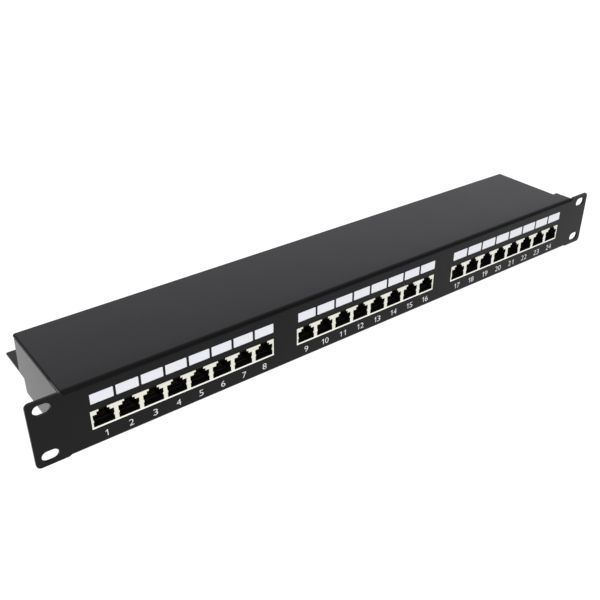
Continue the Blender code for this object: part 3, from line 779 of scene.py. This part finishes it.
@dataclass
class FrontPanel:
    """The folded front sheet with its printing: sizes in millimetres."""

    edge: float = 0.3
    end_round: float = 1.0
    field_width: float = 14.1
    field_bottom: float = 29.0
    field_top: float = 35.7
    field_corner: float = 0.4
    field_shift: float = 0.4
    film: float = 0.1
    sunk: float = 0.02
    digit_size: float = 6.5
    digit_width: float = 3.0
    digit_shift: float = 0.1
    digit_middle: float = 5.5
    digit_advance: float = 3.6
    digit_steps: int = 4
    stroke_trim: float = 0.075
    flag_reach: float = 1.05
    flag_drop: float = 0.9
    flag_width: float = 0.6
    one_shift: float = 0.7
    ink: float = 0.04

    def build(self) -> list[Piece]:
        """Builds the front panel.

        Returns:
            The sheet, the writing fields and the port numbers.
        """
        sheet = softened("front_panel", "front_sheet", self.edge, self.flange_ends(), self.end_round)
        pieces = [dress(sheet, POWDER_COAT)]
        for group in GROUPS:
            pieces += [dress(self.fields(group), WRITING_FILM), dress(self.numbers(group), PRINT_INK)]
        return pieces

    def front(self) -> float:
        """Returns the front face's place along Y."""
        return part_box("front_panel")[0].y

    def flange_ends(self) -> EdgeTest:
        """Tells the upper edges at the two ends of the top flange.

        Returns:
            A test for these edges.
        """
        low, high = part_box("front_panel")
        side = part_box("base_tray")[1].x - self.edge * MM
        along = runs_along(Axis.Y)
        return lambda a, b: (along(a, b) and abs(a.x) > side and abs(a.y - b.y) > MM
                             and min(a.y, b.y) > low.y + MM and a.z > high.z - MM)

    def fields(self, group: int) -> Piece:
        """Models a writing field with rounded corners, and copies it along a group.

        Args:
            group: The group's number.

        Returns:
            The group's fields as one piece.
        """
        front, places = self.front(), port_middles(group)
        half, middle = self.field_width / 2 * MM, places[0] + self.field_shift * MM
        low = Vector((middle - half, front - self.film * MM, self.field_bottom * MM))
        high = Vector((middle + half, front + self.sunk * MM, self.field_top * MM))
        first = block("writing_field", low, high)
        with editing(first):
            bevel_edges(first, runs_along(Axis.Y), self.field_corner, ROUND_FACETS)
            bevel_edges(first, lambda a, b: max(a.y, b.y) < front - self.sunk * MM, self.film / 3)
        return repeated(f"writing_fields_{group}", first, [Vector((x - places[0], 0, 0)) for x in places])

    def numbers(self, group: int) -> Piece:
        """Sets the port numbers of a group in type.

        Args:
            group: The group's number.

        Returns:
            The group's numbers as one piece.
        """
        figures = []
        for number, x in enumerate(port_middles(group), (group - 1) * PORTS_PER_GROUP + 1):
            digits = str(number)
            for place, digit in enumerate(digits):
                across = x + (self.digit_shift + (place - (len(digits) - 1) / 2) * self.digit_advance) * MM
                figures.append(self.figure(digit, Vector((across, self.front(), self.digit_middle * MM))))
        return joined(f"port_numbers_{group}", figures)

    def figure(self, digit: str, middle: Vector) -> Piece:
        """Sets one figure in type, as a film of ink.

        Args:
            digit: The figure.
            middle: Its place on the front face.

        Returns:
            The figure as a mesh.
        """
        type_set = added("figure", bpy.ops.object.text_add, location=middle,
                         rotation=(math.pi / 2, 0, 0)).data
        type_set.body = digit
        type_set.align_x, type_set.align_y = "CENTER", "CENTER"
        type_set.size = self.digit_size * MM
        type_set.offset = -self.stroke_trim * MM
        type_set.extrude = self.ink * MM
        type_set.resolution_u = self.digit_steps
        bpy.ops.object.convert(target="MESH")
        figure = bpy.context.object
        settle(figure)
        widen = 1.0 if digit == "1" else self.digit_width * MM / figure.dimensions.x
        with editing(figure):
            bpy.ops.mesh.remove_doubles(threshold=MERGE)
            bpy.ops.mesh.normals_make_consistent(inside=False)
            bpy.ops.transform.resize(value=(widen, 1.0, 1.0), center_override=middle)
        if digit == "1":
            self.add_flag(figure)
        return figure

    def add_flag(self, figure: Piece) -> None:
        """Gives a one its flag, because the type draws it as a plain bar.

        Args:
            figure: The bar.
        """
        figure.data.transform(Matrix.Translation((self.one_shift * MM, 0, 0)))
        points = [vertex.co for vertex in figure.data.vertices]
        left, top = min(p.x for p in points), max(p.z for p in points)
        near, far = min(p.y for p in points), max(p.y for p in points)
        flag = block("flag", Vector((left - self.flag_reach * MM, near, top - self.flag_width * MM)),
                     Vector((left + self.ink * MM, far, top)))
        with editing(flag):
            pick_edges(flag, lambda a, b: max(a.x, b.x) < left - MERGE)
            bpy.ops.transform.translate(value=(0, 0, -self.flag_drop * MM))
        carve(figure, flag, Carving.JOIN)


@dataclass
class Casing:
    """The folded base tray and the lid: sizes in millimetres."""

    edge: float = 0.15

    def build(self) -> list[Piece]:
        """Builds the casing.

        Returns:
            The base tray and the lid.
        """
        tray = softened("base_tray", "base_sheet", self.edge)
        lid = softened("top_cover", "lid_sheet", self.edge)
        return [dress(tray, TRAY_COAT),
                dress(lid, POWDER_COAT, Body.COVER)]


@dataclass
class JackGangs:
    """Three gangs of eight jacks with shields and contacts: sizes in millimetres, angles in degrees."""

    shield_edge: float = 0.1
    sheet: float = 0.4
    lip: float = 1.05
    notch: float = 1.7
    # The part of its normal along Y from which a face looks to the front, and up to which it looks aside
    frontal: float = 0.9
    aside: float = 0.1
    opening: float = 13.1
    tab_low: float = 4.5
    tab_high: float = 6.2
    tab_reach: float = 0.4
    tab_round: float = 0.2
    tab_facets: int = 3
    carrier_depth: float = 2.2
    carrier_height: float = 1.3
    carrier_nose: float = 0.5
    contact_count: int = 8
    contact_pitch: float = 1.02
    wire: float = 0.46
    wire_sides: int = 8
    wire_shade: float = 60.0
    wire_root: float = 0.575
    tip_radius: float = 1.0
    tip_turn: float = 55.0
    tip_steps: int = 4
    tip_room: float = 0.9

    def build(self) -> list[Piece]:
        """Builds the jacks.

        Returns:
            The shields with their earth tabs, the housings, contact carriers and contacts.
        """
        pieces = []
        for group in GROUPS:
            pieces += [self.plate(group), dress(self.tabs(group), TIN_PLATE),
                       paint_node(f"jack_housing_{group}", JACK_PLASTIC),
                       dress(self.carriers(group), JACK_PLASTIC),
                       dress(self.springs(group), GOLD_FLASH)]
        return pieces

    def plate(self, group: int) -> Piece:
        """Softens a shield, with a painted highlight on the lip under its ports and bare steel where it was
        sheared.

        Args:
            group: The group's number.

        Returns:
            The shield.
        """
        node = f"jack_shield_{group}"
        low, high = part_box(node)
        piece = softened(node, f"shield_plate_{group}", self.shield_edge)
        lip = low.z + self.lip * MM
        with editing(piece):
            bpy.ops.mesh.bisect(plane_co=(0, 0, lip), plane_no=(0, 0, 1))
        smooth(piece)
        dress(piece, TIN_PLATE)
        finishes = [TIN_PLATE, TIN_PAINTED_HIGHLIGHT, SHEARED_EDGE]
        for finish in finishes[1:]:
            piece.data.materials.append(finish.material())
        for face in piece.data.polygons:
            within = all(low[i] + MERGE < face.center[i] < high[i] - MERGE for i in range(3))
            # The lip's front faces take the lighter tin, a painted highlight where the lip catches the light
            if face.normal.y < -self.frontal and face.center.z < lip:
                face.material_index = finishes.index(TIN_PAINTED_HIGHLIGHT)
            elif within and abs(face.normal.y) < self.aside and face.center.y < low.y + self.notch * MM:
                face.material_index = finishes.index(SHEARED_EDGE)
        return piece

    def tabs(self, group: int) -> Piece:
        """Models the two earth tabs at the sides of a port, and copies them along a group.

        Args:
            group: The group's number.

        Returns:
            The group's tabs as one piece.
        """
        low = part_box(f"jack_shield_{group}")[0]
        tip = (self.opening / 2 - self.tab_reach) * MM
        front, root = low.y + self.shield_edge * MM, tip + (self.tab_reach + self.shield_edge) * MM
        tab = block("tab", Vector((tip, front, low.z + self.tab_low * MM)),
                    Vector((root, low.y + self.sheet * MM, low.z + self.tab_high * MM)))
        with editing(tab):
            bevel_edges(tab, lambda a, b: runs_along(Axis.Y)(a, b) and a.x < tip + MERGE, self.tab_round,
                        self.tab_facets)
        mirror(tab)
        return repeated(f"earth_tabs_{group}", tab, [Vector((x, 0, 0)) for x in port_middles(group)])

    def carriers(self, group: int) -> Piece:
        """Models a contact carrier with a rounded nose, and copies it to each port of a group.

        Args:
            group: The group's number.

        Returns:
            The group's carriers as one piece.
        """
        boxes = port_boxes(group)
        low, high = boxes[0]
        top = low.z + self.carrier_height * MM
        first = block("carrier", low, Vector((high.x, low.y + self.carrier_depth * MM, top)))
        with editing(first):
            bevel_edges(first, lambda a, b: runs_along(Axis.X)(a, b) and a.y < low.y + MERGE
                        and a.z > top - MERGE, self.carrier_nose, ROUND_FACETS)
        smooth(first)
        return repeated(f"contact_carriers_{group}", first, [box[0] - low for box in boxes])

    def springs(self, group: int) -> Piece:
        """Draws a contact wire up its slope and over at its tip, and copies it along a group.

        Args:
            group: The group's number.

        Returns:
            The group's contacts as one piece.
        """
        boxes = port_boxes(group)
        low, high = boxes[0]
        across = (low.x + high.x) / 2 - (self.contact_count - 1) / 2 * self.contact_pitch * MM
        root = Vector((across, low.y + self.carrier_depth / 2 * MM, low.z + self.wire_root * MM))
        end = Vector((across, high.y, high.z - self.wire / 2 * MM))
        run = end - root
        slope = math.atan2(run.z, run.y)
        along = run.normalized()
        drawn = along * (run.length - self.tip_room * MM)
        first = added("spring", bpy.ops.mesh.primitive_circle_add, vertices=self.wire_sides,
                      radius=self.wire / 2 * MM, fill_type="NGON", location=root,
                      rotation=(slope - math.pi / 2, 0, 0))
        settle(first)
        pivot = root + drawn + Vector((0, along.z, -along.y)) * self.tip_radius * MM
        with editing(first):
            bpy.ops.mesh.extrude_region_move(TRANSFORM_OT_translate={"value": drawn})
            bpy.ops.mesh.spin(steps=self.tip_steps, angle=math.radians(self.tip_turn), center=pivot,
                              axis=(-1, 0, 0))
            bpy.ops.mesh.select_all(action="SELECT")
            bpy.ops.mesh.remove_doubles(threshold=MERGE)
            bpy.ops.mesh.normals_make_consistent(inside=False)
        alone(first)
        bpy.ops.object.shade_smooth_by_angle(angle=math.radians(self.wire_shade))
        shifts = [Vector((box[0].x - low.x + i * self.contact_pitch * MM, 0, 0)) for box in boxes
                  for i in range(self.contact_count)]
        contacts = repeated(f"contact_springs_{group}", first, shifts)
        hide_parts(*numbered("contact_insert", group, PORTS_PER_GROUP))
        return contacts


@dataclass
class WiringField:
    """The circuit boards with their terminal blocks and blades: sizes in millimetres."""

    block_edge: float = 0.15
    ports_per_block: int = 2
    slots_per_port: int = 4
    slot_pitch: float = 3.3
    ridge_depth: float = 7.0
    slot_floor: float = 4.7
    blade_drop: float = 0.9
    blade_thickness: float = 0.5
    jaw_inner: float = 0.12
    jaw_outer: float = 0.5
    jaw_lead: float = 0.25

    def build(self) -> list[Piece]:
        """Builds the wiring field.

        Returns:
            The boards, the blocks and the blades in them.
        """
        pieces = []
        for group in GROUPS:
            pieces.append(paint_node(f"circuit_board_{group}", SOLDER_MASK))
            names = numbered("terminal_block", group, BLOCKS_PER_GROUP)
            for name in names:
                moulding = softened(name, name.replace("terminal", "punch_down"), self.block_edge)
                pieces.append(dress(moulding, BLOCK_PLASTIC))
            pieces.append(dress(self.blades(group, names), BLADE_PLATE))
        return pieces

    def blades(self, group: int, names: Sequence[str]) -> Piece:
        """Models the two jaws of a blade, and copies them into each wire slot of a group.

        Args:
            group: The group's number.
            names: The group's terminal blocks.

        Returns:
            The group's blades as one piece.
        """
        low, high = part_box(names[0])
        ridges = (low.y + self.ridge_depth / 2 * MM, high.y - self.ridge_depth / 2 * MM)
        half, top = self.blade_thickness / 2 * MM, high.z - self.blade_drop * MM
        jaw = block("jaw", Vector((self.jaw_inner * MM, ridges[0] - half, high.z - self.slot_floor * MM)),
                    Vector((self.jaw_outer * MM, ridges[0] + half, top)))
        with editing(jaw):
            bevel_edges(jaw, lambda a, b: runs_along(Axis.Y)(a, b) and a.z > top - MERGE
                        and a.x < self.jaw_inner * MM + MERGE, self.jaw_lead)
        mirror(jaw)
        middles = [sum((corner.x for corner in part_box(name)), 0.0) / 2 for name in names]
        across = [middle + shift for middle in middles for shift in self.slot_places(names)]
        shifts = [Vector((x, y - ridges[0], 0)) for x in across for y in ridges]
        return repeated(f"terminal_blades_{group}", jaw, shifts)

    def slot_places(self, names: Sequence[str]) -> list[float]:
        """Works out where the wire slots of a block are.

        Args:
            names: The group's terminal blocks.

        Returns:
            The slots' places along X, from the block's middle.
        """
        port_pitch = (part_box(names[1])[0].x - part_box(names[0])[0].x) / self.ports_per_block
        return [(port - (self.ports_per_block - 1) / 2) * port_pitch
                + (slot - (self.slots_per_port - 1) / 2) * self.slot_pitch * MM
                for port in range(self.ports_per_block) for slot in range(self.slots_per_port)]


@dataclass(frozen=True)
class Thread:
    """A screw thread about the Z axis: sizes in millimetres."""

    radius: float
    pitch: float
    depth: float
    rings_per_turn: int = 4
    plain_turns: float = 0.2
    margin: float = 0.01

    def rings(self, low: float, high: float) -> list[Ring]:
        """Returns rings from one height to another, close enough together to cut the thread in them."""
        count = max(2, round((high - low) / self.pitch * self.rings_per_turn))
        return [(self.radius, low + (high - low) * i / count) for i in range(count + 1)]

    def cut(self, piece: Piece, low: float, high: float) -> None:
        """Draws a piece's rings in along a helix, but for a plain part at both ends.

        Args:
            piece: The piece that has the rings.
            low: Where the thread starts.
            high: Where it ends.
        """
        plain = self.plain_turns * self.pitch
        for vertex in piece.data.vertices:
            out, up = vertex.co.xy.length / MM, vertex.co.z / MM
            if abs(out - self.radius) > self.margin or not low + plain < up < high - plain:
                continue
            turn = (up / self.pitch - math.atan2(vertex.co.y, vertex.co.x) / math.tau) % 1.0
            vertex.co.xy *= 1.0 - self.depth / self.radius * (1.0 - abs(2.0 * turn - 1.0))


@dataclass
class Fasteners:
    """The screws, and the earth stud with its nut: sizes in millimetres."""

    sides: int = 24
    thread: Thread = Thread(radius=1.5, pitch=0.5, depth=0.26)
    point: float = 0.4
    head: float = 2.8
    head_height: float = 1.9
    # Shares of the head's radius and height, up its dome
    dome: tuple[Ring, ...] = ((1.0, 0.0), (1.0, 0.5), (0.96, 0.68), (0.85, 0.84), (0.65, 0.95), (0.35, 1.0))
    recess_width: float = 0.8
    recess_length: float = 3.2
    recess_depth: float = 1.1
    recess_step: float = 0.02
    recess_taper: float = 0.7
    sunk_head: float = 2.6
    sunk_height: float = 1.2
    sunk_rim: float = 0.15
    stud_thread: Thread = Thread(radius=2.0, pitch=0.7, depth=0.36)
    stud_point: float = 0.5
    stud_flange: float = 1.0
    nut_sides: int = 6
    nut_chamfer: float = 0.35
    chamfer_sides: int = 48
    bore_room: float = 0.02
    bore_lead: float = 0.4
    # How far a cutting tool stands out of what it cuts
    recess_over: float = 1.0
    bore_over: float = 0.1

    def build(self) -> list[Piece]:
        """Builds the fasteners.

        Returns:
            Every screw, the stud and the nut.
        """
        pan = [(self.head * wide, self.head_height * high) for wide, high in self.dome]
        sunk = [(self.sunk_head, self.sunk_height - self.sunk_rim), (self.sunk_head, self.sunk_height)]
        pieces = [self.screw(f"board_screw_{number}", pan, Facing.UP)
                  for number in range(1, SCREWS_PER_GROUP * len(GROUPS) + 1)]
        for side in ("left", "right"):
            pieces += [self.screw(f"cover_screw_{side}", pan, Facing.REAR, Body.COVER),
                       self.screw(f"panel_screw_{side}", sunk, Facing.DOWN)]
        return [*pieces, self.earth_stud(), self.earth_nut()]

    def fit(self, piece: Piece, node: str, seat: Vector, tilt: float = 0.0,
            body: Body = Body.CHASSIS) -> Piece:
        """Puts a fastener where its CAD node is.

        Args:
            piece: The fastener, upright, with its seat at the origin.
            node: The CAD node it stands for.
            seat: Where its seat goes.
            tilt: How far it is turned about X.
            body: The body it moves with.

        Returns:
            The fastener.
        """
        piece.location, piece.rotation_euler = seat, (tilt, 0, 0)
        settle(piece)
        smooth(piece)
        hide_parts(node)
        return dress(piece, ZINC_PLATE, body)

    def screw(self, node: str, head: Sequence[Ring], facing: Facing, body: Body = Body.CHASSIS) -> Piece:
        """Turns a screw upright, with the root of its head at the origin, and fits it.

        Args:
            node: The CAD node it stands for.
            head: The rings of its head.
            facing: Where its head looks.
            body: The body it moves with.

        Returns:
            The screw.
        """
        low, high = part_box(node)
        axis, at_high_end, tilt = facing.value
        along, top = axis.value, head[-1][1]
        seat = (low + high) / 2
        seat[along] = high[along] - top * MM if at_high_end else low[along] + top * MM
        tip = -(seat[along] - low[along] if at_high_end else high[along] - seat[along]) / MM
        start = tip + self.point
        rings = [(self.thread.radius - self.point, tip), *self.thread.rings(start, 0.0), *head]
        piece = turned(f"{node}_turned", self.sides, rings)
        self.thread.cut(piece, start, 0.0)
        self.recess(piece, top)
        return self.fit(piece, node, seat, tilt, body)

    def recess(self, piece: Piece, top: float) -> None:
        """Cuts a cross recess into a screw head.

        Args:
            piece: The screw, upright about the Z axis.
            top: The height of the top of its head.
        """
        # The second slot is a hair shallower, so that the two floors don't lie in one plane
        length, width, depth = self.recess_length, self.recess_width, self.recess_depth
        for long, wide, deep in ((length, width, depth), (width, length, depth - self.recess_step)):
            floor = Vector((-long / 2, -wide / 2, top - deep)) * MM
            tool = block("driver", floor, Vector((long / 2, wide / 2, top + self.recess_over)) * MM)
            with editing(tool):
                pick_edges(tool, lambda a, b: max(a.z, b.z) < floor.z + MERGE)
                bpy.ops.transform.resize(value=(self.recess_taper, self.recess_taper, 1.0),
                                         center_override=(0, 0, floor.z))
            carve(piece, tool, Carving.CUT)

    def earth_stud(self) -> Piece:
        """Turns the earth stud, with its thread and its flat head under the tray.

        Returns:
            The stud.
        """
        low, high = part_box("earth_stud")
        length, head = (high.z - low.z) / MM, (high.x - low.x) / 2 / MM
        end = length - self.stud_point
        rings = [(head, 0.0), (head, self.stud_flange), *self.stud_thread.rings(self.stud_flange, end),
                 (self.stud_thread.radius - self.stud_point, length)]
        piece = turned("earth_stud_turned", self.sides, rings)
        self.stud_thread.cut(piece, self.stud_flange, end)
        return self.fit(piece, "earth_stud", Vector((*((low + high) / 2).xy, low.z)))

    def earth_nut(self) -> Piece:
        """Models the hexagon nut, chamfered at both ends and bored.

        Returns:
            The nut.
        """
        low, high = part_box("earth_nut")
        wide, across, tall = [(top - bottom) / MM for bottom, top in zip(low, high)]
        corner, flat = max(wide, across) / 2, min(wide, across) / 2
        piece = turned("earth_nut_turned", self.nut_sides, [(corner, 0.0), (corner, tall)])
        if across > wide:
            piece.rotation_euler = (0, 0, math.pi / self.nut_sides)
            settle(piece)
        cone = [(flat, 0.0), (corner, self.nut_chamfer), (corner, tall - self.nut_chamfer), (flat, tall)]
        carve(piece, turned("chamfer", self.chamfer_sides, cone), Carving.BOUND)
        mouth, inner = self.stud_thread.radius + self.bore_lead, self.stud_thread.radius + self.bore_room
        bore = [(mouth, -self.bore_over), (inner, self.bore_lead), (inner, tall - self.bore_lead),
                (mouth, tall + self.bore_over)]
        carve(piece, turned("bore", self.sides, bore), Carving.CUT)
        return self.fit(piece, "earth_nut", Vector((*((low + high) / 2).xy, low.z)))


@dataclass
class Studio:
    """The camera, a light table, a soft lamp and a room that is brightest at its rear: sizes in metres."""

    eye: tuple[float, float, float] = (-0.322551, -0.399605, 0.302578)
    # The camera's turn in degrees, and its lens and sensor in millimetres
    turn: tuple[float, float, float] = (59.4629, -0.1810, -36.8685)
    lens: float = 47.388
    sensor: float = 36.0
    nearest: float = 0.01
    table: float = 6.0
    table_gap: float = 0.0003
    lamp: tuple[float, float, float] = (-0.8, -1.6, 1.3)
    lamp_size: float = 1.2
    lamp_watts: float = 17.0
    # The room's light at its front and rear, and the heading along Y up to which it is the front's
    room_colour: str = "f9f9ff"
    room_front: float = 0.37
    room_rear: float = 1.57
    room_dimmest: float = -0.54
    # The heading of a dark patch, the share of light left in it, and the nearness where it starts and is full
    patch: tuple[float, float, float] = (-0.65, 0.74, 0.17)
    patch_light: float = 0.2
    patch_edge: Range = (0.75, 0.95)

    def build(self) -> None:
        """Builds the camera, the table, the lamp and the room's light."""
        camera = added("camera", bpy.ops.object.camera_add, location=self.eye,
                       rotation=[math.radians(angle) for angle in self.turn])
        camera.data.lens, camera.data.sensor_width = self.lens, self.sensor
        camera.data.clip_start = self.nearest
        bpy.context.scene.camera = camera
        table = added("light_table", bpy.ops.mesh.primitive_plane_add, size=self.table,
                      location=(0, 0, -self.table_gap))
        table.data.materials.append(LIGHT_TABLE.material())
        lamp = added("lamp", bpy.ops.object.light_add, type="AREA", location=self.lamp,
                     rotation=Vector(self.lamp).to_track_quat("Z", "Y").to_euler())
        lamp.data.size, lamp.data.energy = self.lamp_size, self.lamp_watts
        self.room()
        bpy.context.scene.view_settings.view_transform = "Standard"

    def room(self) -> None:
        """Lights the room from its rear, with a dark patch at the left rear that draws the lid's edge."""
        world = bpy.data.worlds.new("white_room")
        world.use_nodes = True
        tree = world.node_tree
        tree.nodes.clear()
        ray = add_node(tree, "ShaderNodeTexCoord").outputs["Generated"]
        heading = add_node(tree, "ShaderNodeSeparateXYZ", {0: ray}).outputs["Y"]
        light = add_node(tree, "ShaderNodeMapRange", {
            "Value": heading, "From Min": self.room_dimmest, "From Max": 1.0, "To Min": self.room_front,
            "To Max": self.room_rear})
        nearness = add_node(tree, "ShaderNodeVectorMath", {0: ray, 1: self.patch}, operation="DOT_PRODUCT")
        kept = add_node(tree, "ShaderNodeMapRange", {
            "Value": nearness.outputs["Value"], "From Min": self.patch_edge[0],
            "From Max": self.patch_edge[1], "To Min": 1.0, "To Max": self.patch_light})
        strength = add_node(tree, "ShaderNodeMath", {0: light.outputs[0], 1: kept.outputs[0]},
                            operation="MULTIPLY")
        glow = add_node(tree, "ShaderNodeBackground",
                        {"Color": linear(self.room_colour), "Strength": strength.outputs[0]})
        backdrop = add_node(tree, "ShaderNodeBackground", {"Color": linear(WHITE)})
        seen = add_node(tree, "ShaderNodeLightPath").outputs["Is Camera Ray"]
        both = add_node(tree, "ShaderNodeMixShader", {0: seen, 1: glow.outputs[0], 2: backdrop.outputs[0]})
        add_node(tree, "ShaderNodeOutputWorld", {"Surface": both.outputs[0]})
        bpy.context.scene.world = world


def main() -> None:
    """Builds the sub-assemblies in order, then the studio, and reports each piece."""
    logging.basicConfig(level=logging.INFO, format="%(name)s: %(message)s")
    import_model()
    for assembly in (FrontPanel(), Casing(), JackGangs(), WiringField(), Fasteners()):
        for piece in assembly.build():
            LOG.info("%s: %s, %d faces", type(assembly).__name__, piece.name, len(piece.data.polygons))
    Studio().build()


if __name__ == "__main__":
    main()
